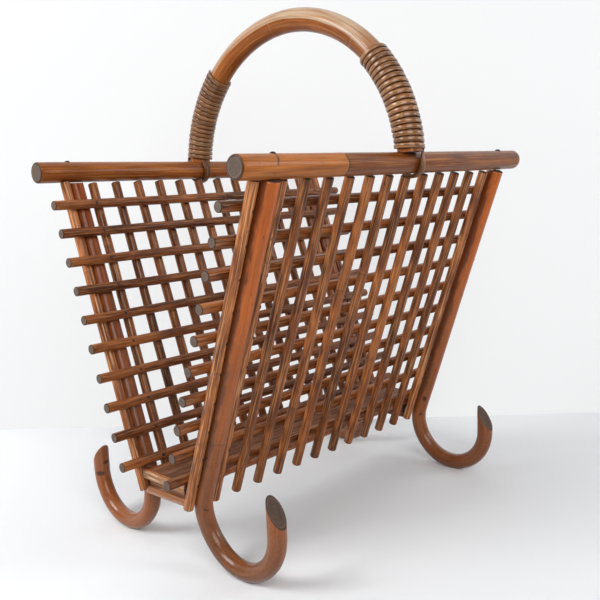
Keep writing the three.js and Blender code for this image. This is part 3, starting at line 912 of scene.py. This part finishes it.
class BASKET_OT_sticks(Operator):
    """Make the ten free upright sticks of each panel"""
    bl_idname = "basket.sticks"
    bl_label = "Upright sticks"

    def execute(self, context):
        for side in SIDES:
            for index in range(1, 11):
                upright(f"{side}_stick_{index:02d}", side, "stick", (-0.5, 0.3))
        return {"FINISHED"}


class BASKET_OT_guards(Operator):
    """Make the sticks on both sides of every post"""
    bl_idname = "basket.guards"
    bl_label = "Guard sticks"

    def execute(self, context):
        for side in SIDES:
            for end in ENDS:
                for place, tones in (("inner", (-0.3, 0.1)), ("outer", (-0.1, 0.2))):
                    upright(f"{side}_{end}_{place}_guard", side, "guard", tones)
        return {"FINISHED"}


def cut_flat(piece, point, normal, inside=None):
    """Cuts off what lies on the normal's side of a plane and closes the cut with the cut end.

    Where inside is given, only faces whose middle it accepts are cut.
    """
    work = bmesh.new()
    work.from_mesh(piece.data)
    faces = [face for face in work.faces if not inside or inside(face.calc_center_median())]
    parts = set(faces)
    for face in faces:
        parts.update(face.edges)
        parts.update(face.verts)
    result = bmesh.ops.bisect_plane(work, geom=list(parts), plane_co=point, plane_no=normal,
                                    clear_outer=True)
    rim = [item for item in result["geom_cut"]
           if isinstance(item, bmesh.types.BMEdge) and item.is_boundary]
    for face in bmesh.ops.contextual_create(work, geom=rim)["faces"]:
        face.material_index = CUT_SLOT
        face.smooth = False
        if face.normal.dot(Vector(normal)) < 0:
            face.normal_flip()
    work.to_mesh(piece.data)
    work.free()


class BASKET_OT_posts(Operator):
    """Make the four posts that curl outwards into hooked feet"""
    bl_idname = "basket.posts"
    bl_label = "Hooked posts"

    def execute(self, context):
        plan = layout()
        for side, way in SIDES.items():
            for end in ENDS:
                self.make_post(plan, f"{side}_{end}", way)
        return {"FINISHED"}

    def make_post(self, plan, name, way):
        sizes = plan.sizes
        x = middle(name + "_post").x
        turn = sizes.foot_bend_radius
        tip = getattr(sizes, "tip_" + name)
        overrun, bend_step = 0.012, 0.003
        post_top = max(plan.post_top, plan.rail_side(way, x, -1) - sizes.contact_gap)
        start_height = post_top + overrun
        top = Vector((x, way * plan.height_on_panel(start_height, plan.post_offset), start_height))

        def hook(angle):
            return Vector((x, way * (plan.hook_y + turn * math.sin(angle)),
                           plan.hook_z - turn * math.cos(angle)))

        bend = -math.pi / 2 - plan.slope
        arc = math.pi / 2 - bend
        steps = round(turn * arc / bend_step)
        points = stations(top, hook(bend))
        points += [hook(bend + arc * step / steps) for step in range(1, steps + 1)]
        end = Vector((x, way * (plan.hook_y + turn), tip + overrun))
        points += stations(points[-1], end)[1:]
        aside, sole_tone, tip_tone, thicker = FEET[name]
        lowest = min(range(len(points)), key=lambda index: points[index].z)
        rest = len(points) - 1 - lowest
        shares = [plan.foot_share(point.z if index < lowest else 0)
                  for index, point in enumerate(points)]
        for point, share in zip(points, shares):
            point.x += aside * share
        tone, ring, seed = POST_LOOKS[name]
        tones = [tone + share * (sole_tone + (tip_tone - sole_tone) * max(0, index - lowest) / rest)
                 for index, share in enumerate(shares)]
        run = make_run(points, X_AXIS, tones, ring, seed, [thicker * share for share in shares])
        piece = sweep(f"cane_{name}_post", [run], "post", sizes.post_diameter)

        cut_flat(piece, (x, 0, post_top), (0, 0, 1))
        cut_flat(piece, (x, 0, 0), (0, 0, -1))
        top_y = way * plan.height_on_panel(post_top, plan.post_offset)
        shave = math.radians(24)
        cut_flat(piece, (x, top_y, post_top), (0, way * math.sin(shave), math.cos(shave)),
                 lambda place: place.z > post_top - sizes.post_diameter)
        lean = math.atan2(sizes.tip_cut_height, sizes.post_diameter)
        cut_flat(piece, (x, way * (plan.hook_y + turn), tip - sizes.tip_cut_height / 2),
                 (0, way * math.sin(lean), math.cos(lean)),
                 lambda place: (way * place.y > plan.hook_y + turn / 2
                                and plan.hook_z / 2 < place.z < 2.4 * plan.hook_z))
        hand_over(piece, "post_cane", name + "_post")


class BASKET_OT_handle(Operator):
    """Make the arched handle that sits on both rails"""
    bl_idname = "basket.handle"
    bl_label = "Arched handle"

    def execute(self, context):
        plan = layout()
        sizes = plan.sizes
        start = math.asin(sizes.handle_ear_height / sizes.handle_rise)
        count = 150
        points = [plan.arch(-1, start + (math.pi - 2 * start) * i / count)
                  for i in range(count + 1)]
        run = make_run(points, X_AXIS, tone=0.0, ring=0.229, seed=40.0)
        piece = sweep("cane_handle_arch", [run], "handle", sizes.handle_diameter)
        self.seat(piece, plan)
        hand_over(piece, "handle_cane", "handle_arch")
        return {"FINISHED"}

    def seat(self, piece, plan):
        """Hollows both ends where they sit on the rails."""
        radius = plan.sizes.rail_diameter / 2 + plan.sizes.contact_gap
        for way in SIDES.values():
            work = bmesh.new()
            turn = Matrix.Translation((0, way * plan.rail.y, plan.rail.z)) @ Matrix.Rotation(
                math.pi / 2, 4, "Y")
            bmesh.ops.create_cone(work, cap_ends=True, segments=48, radius1=radius,
                                  radius2=radius, depth=plan.sizes.handle_diameter * 3,
                                  matrix=turn)
            mesh = bpy.data.meshes.new("seat")
            work.to_mesh(mesh)
            work.free()
            mesh.materials.append(piece.data.materials[0])
            cutter = link_object("seat", mesh)
            cut = piece.modifiers.new("seat", "BOOLEAN")
            cut.operation, cut.solver, cut.object = "DIFFERENCE", "EXACT", cutter
            evaluated = piece.evaluated_get(bpy.context.evaluated_depsgraph_get())
            hollowed = bpy.data.meshes.new_from_object(evaluated)
            piece.modifiers.clear()
            piece.data = hollowed
            bpy.data.objects.remove(cutter)


def strand_run(plan, way, under_reach):
    """One strand: down the arch in turns, then round the rail as a strap, with its facing."""
    sizes = plan.sizes
    arch_gap, rail_gap, strap_slack, pull = 0.0006, 0.0008, 0.0012, 0.004
    leave, strap_turn = math.radians(46), math.radians(235)
    turn_steps, pull_steps, strap_steps = 36, 10, 34
    turn_radius = sizes.handle_diameter / 2 + arch_gap + sizes.strand_thickness / 2
    lowest = sizes.rail_diameter / 2 + sizes.strand_width / 2 + rail_gap
    low = math.asin(lowest / sizes.handle_rise)
    high = low + sizes.winding_turns * sizes.turn_pitch
    steps = sizes.winding_turns * turn_steps
    points, facing = [], []
    for step in range(steps + 1):
        turn = leave + (step - steps) / turn_steps * 2 * math.pi
        angle = high + (low - high) * step / steps
        outward = plan.arch_out(way, angle) * math.cos(turn)
        outward.x = -way * math.sin(turn)
        points.append(plan.arch(way, angle) + outward * turn_radius)
        facing.append(outward)

    strap_radius = (sizes.rail_diameter / 2 + sizes.contact_gap + strap_slack
                    + sizes.strand_thickness / 2)

    def strap(angle):
        outward = Vector((0, way * math.cos(angle), -math.sin(angle)))
        under = math.sin(angle) if angle < math.pi / 2 else 1
        reach = sizes.strap_side_reach + (under_reach - sizes.strap_side_reach) * under
        place = Vector((-way * reach, way * plan.rail.y, plan.rail.z))
        return place + outward * strap_radius, outward

    travel = Vector((-way * math.cos(leave), -way * math.sin(leave), 0))
    first, first_out = strap(0)
    knots = [points[-1], points[-1] + travel * pull, first + Z_AXIS * pull, first]
    last_out = facing[-1]
    for step in range(1, pull_steps):
        t = step / pull_steps
        weights = ((1 - t) ** 3, 3 * t * (1 - t) ** 2, 3 * t * t * (1 - t), t ** 3)
        points.append(sum((knot * weight for knot, weight in zip(knots, weights)), Vector()))
        facing.append(last_out.lerp(first_out, t).normalized())
    wound = len(points)
    for step in range(strap_steps + 1):
        place, outward = strap(strap_turn * step / strap_steps)
        points.append(place)
        facing.append(outward)

    # Between the last turn and the strap, the strand grows dark and thicker
    before, reach = 8, 12
    shares = [min(1, max(0, (index - wound + before) / reach)) for index in range(len(points))]
    wound_tone = -0.28 if way > 0 else 0.0
    strap_tone, strap_girth = -0.95, 0.8
    tones = [wound_tone + (strap_tone - wound_tone) * share for share in shares]
    return make_run(points, facing, tones, ring=0.1, seed=17.0 + way,
                    girth=[strap_girth * share for share in shares])


class BASKET_OT_bindings(Operator):
    """Make the strand wound round each end of the handle and its rail"""
    bl_idname = "basket.bindings"
    bl_label = "Wound strands"

    def execute(self, context):
        plan = layout()
        for side, way in SIDES.items():
            reach = getattr(plan.sizes, f"strap_{side}_reach")
            piece = sweep("cane_" + side + "_binding", [strand_run(plan, way, reach)], "strand",
                          plan.sizes.strand_thickness, plan.sizes.strand_width)
            hand_over(piece, "binding_cane", side + "_binding")
        return {"FINISHED"}


class BASKET_OT_floor(Operator):
    """Make the floor's slats, edge canes, end battens and bearers"""
    bl_idname = "basket.floor"
    bl_label = "Slatted floor"

    def execute(self, context):
        sizes = context.scene.basket_sizes
        low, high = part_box("floor")
        inner = high.x - sizes.batten_thickness
        edge_y = high.y - sizes.edge_cane_diameter / 2
        self.slats(sizes, high, inner, edge_y)
        self.edge_canes(sizes, high, inner, edge_y)
        self.battens(sizes, high)
        self.bearers(sizes, low, high, inner, edge_y)
        return {"FINISHED"}

    def slats(self, sizes, high, inner, edge_y):
        room = 2 * (edge_y - sizes.edge_cane_diameter / 2)
        width = (room - (sizes.slat_count + 1) * sizes.slat_gap) / sizes.slat_count
        crooked_share = 1.04
        slats = []
        for index in range(sizes.slat_count):
            dice = chance(f"slat {index}")
            y = (index - (sizes.slat_count - 1) / 2) * (width + sizes.slat_gap)
            z = high.z - sizes.slat_thickness / 2 - dice.uniform(0, 0.0004)
            points = stations(Vector((-inner, y, z)), Vector((inner, y, z)))
            slats.append(make_run(points, Z_AXIS, tone=dice.uniform(-0.2, 0.15), ring=0.1,
                                  seed=dice.uniform(0, 90)))
        piece = sweep("floor_slats", slats, "slat", sizes.slat_thickness, width * crooked_share)
        hand_over(piece, "floor_cane", "floor")

    def edge_canes(self, sizes, high, inner, edge_y):
        edges = []
        for way in (-1, 1):
            z = high.z - sizes.edge_cane_diameter / 2
            points = stations(Vector((-inner, way * edge_y, z)), Vector((inner, way * edge_y, z)))
            edges.append(make_run(points, Z_AXIS, tone=0.05, ring=0.2, seed=30.0 + way))
        piece = sweep("floor_edge_canes", edges, "edge", sizes.edge_cane_diameter)
        hand_over(piece, "floor_cane", "floor")

    def battens(self, sizes, high):
        """Each end batten: a split face outside, lower than the skin inside it."""
        bottom, split, split_drop = high.z - sizes.batten_height, 0.0016, 0.0009
        for name, kind, near, far, top in (
                ("floor_batten_skins", "edge", split * 0.8, sizes.batten_thickness, high.z),
                ("floor_batten_splits", "batten", 0, split, high.z - split_drop)):
            depth, tall = far - near, top - bottom
            battens = []
            for way in ENDS.values():
                at = Vector((way * (high.x - (near + far) / 2), 0, bottom + tall / 2))
                reach = Vector((0, high.y, 0))
                points = stations(at - reach, at + reach, "batten", 0.003)
                battens.append(make_run(points, X_AXIS * way, ring=0.2, seed=60.0 + way))
            piece = sweep(name, battens, "batten", depth, tall, skin=kind)
            hand_over(piece, "floor_cane", "floor")

    def bearers(self, sizes, low, high, inner, edge_y):
        """Middle bearers, the boards that show below the floor's ends, and the end bearers."""
        slat_low = high.z - sizes.slat_thickness
        board_shift, board_drop, board_end_gap = 0.001, 0.0077, 0.001
        end_shift, end_drop = 0.0006, 0.0012
        board_x = middle("back_right_inner_guard").x + board_shift
        kinds = ((inner / 3, sizes.bearer_width, slat_low - sizes.bearer_height, edge_y),
                 (board_x, sizes.bearer_width, low.z - board_drop, high.y - board_end_gap),
                 (inner - sizes.end_bearer_width / 2 + end_shift, sizes.end_bearer_width,
                  low.z - end_drop, edge_y))
        bearers = [(way * x, *facts) for x, *facts in kinds for way in ENDS.values()]
        for index, (x, wide, bottom, half) in enumerate(bearers, 1):
            at = Vector((x, 0, (bottom + slat_low) / 2))
            reach = Vector((0, half, 0))
            points = stations(at - reach, at + reach, "bearer", 0.003)
            run = make_run(points, Z_AXIS, tone=-0.1, ring=0.2, seed=80.0 + index)
            piece = sweep(f"floor_bearer_{index}", [run], "bearer", slat_low - bottom, wide,
                          skin="slat")
            hand_over(piece, "floor_cane", "floor")


class BASKET_OT_cross_bars(Operator):
    """Make the glossy bar low at each end"""
    bl_idname = "basket.cross_bars"
    bl_label = "Cross bars"

    def execute(self, context):
        for end, way in ENDS.items():
            node = end + "_cross_bar"
            low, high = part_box(node)
            at = (low + high) / 2
            x = at.x - BAR_SHIFT * way
            points = stations(Vector((x, low.y, at.z)), Vector((x, high.y, at.z - BAR_SLOPE)),
                              "bar", 0.003)
            run = make_run(points, Z_AXIS, tone=0.05, ring=0.2, seed=5.0)
            piece = sweep("cane_" + node, [run], "bar", context.scene.basket_sizes.bar_diameter)
            hand_over(piece, "cross_bar_cane", node)
        return {"FINISHED"}


class BASKET_OT_nails(Operator):
    """Set the nail heads on rails, crossings and posts"""
    bl_idname = "basket.nails"
    bl_label = "Nail heads"

    def execute(self, context):
        plan = layout()
        groups = [("nails_rails", self.rail_nails(plan), 1.9, 0.55)]
        for side, way in SIDES.items():
            groups.append((f"nails_{side}_panel", self.panel_nails(plan, side, way), 1.15, 0.42))
            groups.append((f"nails_{side}_posts", self.post_nails(plan, side, way), 0.65, 0.42))
        for name, spots, width, dome in groups:
            runs = [make_run([place], facing) for place, facing in spots]
            guide = guide_object(name, runs, joined=False)
            piece = apply_tree(guide, tree_named("Nail heads", nail_tree), name, {
                "Head Width": plan.sizes.nail_diameter * width, "Dome Share": dome,
                "Skin": material_named("nail_head", nail_material)})
            hand_over(piece, "nail_steel")
        return {"FINISHED"}

    def rail_nails(self, plan):
        """Places and facings of the nails on the rails, above the posts."""
        spots = []
        for way in SIDES.values():
            shift = BACK_NAIL_SHIFT if way > 0 else 0.0
            for end, hand in ENDS.items():
                x = middle(f"back_{end}_post").x + hand * shift
                spots.append((Vector((x, way * plan.rail.y, plan.rail_side(way, x, 1))), Z_AXIS))
        return spots

    def panel_nails(self, plan, side, way):
        """Nails through both guards of each post outside, and through the rods inside."""
        rod, stick = plan.sizes.rod_diameter / 2, plan.sizes.stick_diameter / 2
        outward = Vector((0, way * math.cos(plan.slope), -math.sin(plan.slope)))
        sideways, edge_share = 0.45, 0.46
        lean = (outward + X_AXIS * sideways).normalized()
        spots = []
        for index in range(10):
            along = plan.panel_length * index / 9
            for end, hand in ENDS.items():
                for place in ("inner", "outer"):
                    x = middle(f"{side}_{end}_{place}_guard").x
                    spots.append((plan.on_panel(way, x, along, plan.stick_offset) + lean * stick,
                                  lean))
                x = middle(f"{side}_{end}_post").x - hand * plan.sizes.post_diameter * edge_share
                spots.append((plan.on_panel(way, x, along, 0) - outward * rod, -outward))
        return spots

    def post_nails(self, plan, side, way):
        """Nails low in the posts, turned aside from straight out of the basket."""
        turn = plan.sizes.foot_bend_radius
        spots = []
        for end, hand in ENDS.items():
            for height, aside in POST_NAILS:
                bend = -math.acos(min(1, max(-1, (plan.hook_z - height) / turn)))
                bend = max(bend, -math.pi / 2 - plan.slope)
                ahead = Vector((0, way * math.sin(bend), -math.cos(bend)))
                if height > plan.hook_z + turn * math.sin(plan.slope):
                    y = plan.height_on_panel(height, plan.post_offset)
                else:
                    y = plan.hook_y + turn * math.sin(bend)
                x = middle(f"{side}_{end}_post").x
                x += FEET[f"{side}_{end}"][0] * plan.foot_share(height)
                out = X_AXIS * hand * aside - ahead * math.sqrt(1 - aside * aside)
                spots.append((Vector((x, way * y, height))
                              + out * (plan.sizes.post_diameter / 2), out))
        return spots


class BASKET_OT_stage(Operator):
    """Set the floor, the wall, the lights and the camera"""
    bl_idname = "basket.stage"
    bl_label = "Stage"

    def execute(self, context):
        scene = context.scene
        scene.view_settings.view_transform = "Standard"
        self.ground(scene)
        self.lights(scene)
        self.camera(scene)
        return {"FINISHED"}

    def ground(self, scene):
        """A floor and a wall behind the basket, each with how bright it is to light that bounces
        off it and to the camera, and how much it glows; the floor's glow grows towards the wall as
        painted light."""
        wall_way, wall_distance, reach = Vector((0.7330, 0.6802, 0)), 0.2492, 3.0
        along = Vector((-wall_way.y, wall_way.x, 0))
        wall_at = wall_way * wall_distance
        planes = {
            "ground": [(along * x + wall_way * y) * reach for x, y in
                       ((1, -2), (-1, -2), (-1, 2), (1, 2))],
            "wall": [wall_at - along * reach, wall_at - along * reach + Z_AXIS * reach,
                     wall_at + along * reach + Z_AXIS * reach, wall_at + along * reach],
        }
        looks = {"ground": (0.65, 1.0, 0.02), "wall": (1.0, 0.36, 0.64)}
        for name, corners in planes.items():
            mesh = bpy.data.meshes.new("stage_" + name)
            mesh.from_pydata(corners, [], [(0, 1, 2, 3)])
            material, board, shader = new_material("stage_" + name)
            path = board.add("ShaderNodeLightPath")
            seen = Wire(board, path.outputs["Is Camera Ray"]) + path.outputs["Is Glossy Ray"]
            bounce, dimmed, glow = looks[name]
            # Painted light: the floor seen by the camera glows more towards the wall, as if lit
            # brighter there
            if name == "ground":
                painted_light_from, painted_light_by = -0.32, 0.09
                x, y, _ = board.split(board.object_place())
                ahead = x * wall_way.x + y * wall_way.y - wall_distance
                glow = ahead.ramp(painted_light_from, 0.0) * painted_light_by + glow
            shade = scene.basket_colours.ground
            tint = board.blend(seen.clamp(), tinted(shade, bounce), tinted(shade, dimmed))
            for label, value in (("Base Color", tint), ("Roughness", 0.85),
                                 ("Specular IOR Level", 0.2)):
                board.plug(shader.inputs[label], value)
            white = board.wire("ShaderNodeEmission", {"Color": (1, 1, 1, 1),
                                                      "Strength": seen.clamp() * glow})
            surface = board.wire("ShaderNodeAddShader", {0: shader.outputs[0], 1: white})
            if name == "wall":
                # Seen from behind, the wall is clear, so that it never hides the basket
                behind = board.wire("ShaderNodeNewGeometry", output="Backfacing")
                clear = board.wire("ShaderNodeBsdfTransparent")
                surface = board.wire("ShaderNodeMixShader", {0: behind, 1: surface, 2: clear})
            output = next(n for n in board.tree.nodes if n.type == "OUTPUT_MATERIAL")
            board.plug(output.inputs["Surface"], surface)
            mesh.materials.append(material)
            link_object("stage_" + name, mesh)

    def lights(self, scene):
        world = bpy.data.worlds.new("studio")
        world.use_nodes = True
        scene.world = world
        background = next(n for n in world.node_tree.nodes if n.type == "BACKGROUND")
        background.inputs["Color"].default_value = (1, 1, 1, 1)
        board = Board(world.node_tree)
        seen = board.wire("ShaderNodeLightPath", output="Is Camera Ray")
        shown, cast = 0.9, 0.03
        board.plug(background.inputs["Strength"], seen * shown + cast)
        aim = Vector((0, 0, 0.2))
        for name, place, size, power in (
                ("window", Vector((-1.35, 0.45, 1.15)), 0.8, 21.6),
                ("room", Vector((-0.8, -1.2, 1.0)), 1.0, 14.5),
                ("side", Vector((0.75, -1.15, 0.75)), 0.5, 4.3),
                ("ceiling", Vector((-0.2, -0.3, 2.0)), 1.4, 2.0)):
            lamp = bpy.data.lights.new(name, "AREA")
            lamp.shape = "SQUARE"
            lamp.size = size
            lamp.energy = power
            link_object(name, lamp).matrix_world = (
                Matrix.Translation(place)
                @ (aim - place).to_track_quat("-Z", "Y").to_matrix().to_4x4())

    def camera(self, scene):
        yaw, pitch, roll = 0.816, -0.16, -0.031
        picture_width, focal_length = 600, 776.65
        ahead = Vector((math.sin(yaw) * math.cos(pitch), math.cos(yaw) * math.cos(pitch),
                        math.sin(pitch)))
        right = Vector((math.cos(yaw), -math.sin(yaw), 0))
        up = right.cross(ahead)
        level = math.cos(roll) * right + math.sin(roll) * up
        upright_way = -math.sin(roll) * right + math.cos(roll) * up
        lens = bpy.data.cameras.new("photograph")
        lens.sensor_width = 36
        lens.lens = lens.sensor_width * focal_length / picture_width
        lens.clip_start, lens.clip_end = 0.02, 20
        camera = link_object("photograph", lens)
        turn = Matrix((level, upright_way, -ahead)).transposed().to_4x4()
        camera.matrix_world = Matrix.Translation((-0.5713, -0.5423, 0.3374)) @ turn
        scene.camera = camera


OPERATORS = (BASKET_OT_rails, BASKET_OT_rods, BASKET_OT_sticks, BASKET_OT_guards, BASKET_OT_posts,
             BASKET_OT_handle, BASKET_OT_bindings, BASKET_OT_floor, BASKET_OT_cross_bars,
             BASKET_OT_nails, BASKET_OT_stage)


class BASKET_PT_panel(Panel):
    """Lists what the basket is made of"""
    bl_idname = "BASKET_PT_panel"
    bl_label = "Magazine basket"
    bl_space_type = "VIEW_3D"
    bl_region_type = "UI"
    bl_category = "Basket"

    def draw(self, context):
        for maker in OPERATORS:
            self.layout.operator(maker.bl_idname)
        for group in (context.scene.basket_sizes, context.scene.basket_colours):
            column = self.layout.column(align=True)
            for name in group.__annotations__:
                column.prop(group, name)


CLASSES = (BasketSizes, BasketColours, *OPERATORS, BASKET_PT_panel)


def register():
    for item in CLASSES:
        bpy.utils.register_class(item)
    bpy.types.Scene.basket_sizes = PointerProperty(type=BasketSizes)
    bpy.types.Scene.basket_colours = PointerProperty(type=BasketColours)


def unregister():
    del bpy.types.Scene.basket_colours
    del bpy.types.Scene.basket_sizes
    for item in reversed(CLASSES):
        bpy.utils.unregister_class(item)


def main():
    register()
    for maker in OPERATORS:
        group, name = maker.bl_idname.split(".")
        getattr(getattr(bpy.ops, group), name)()


if __name__ == "__main__":
    main()
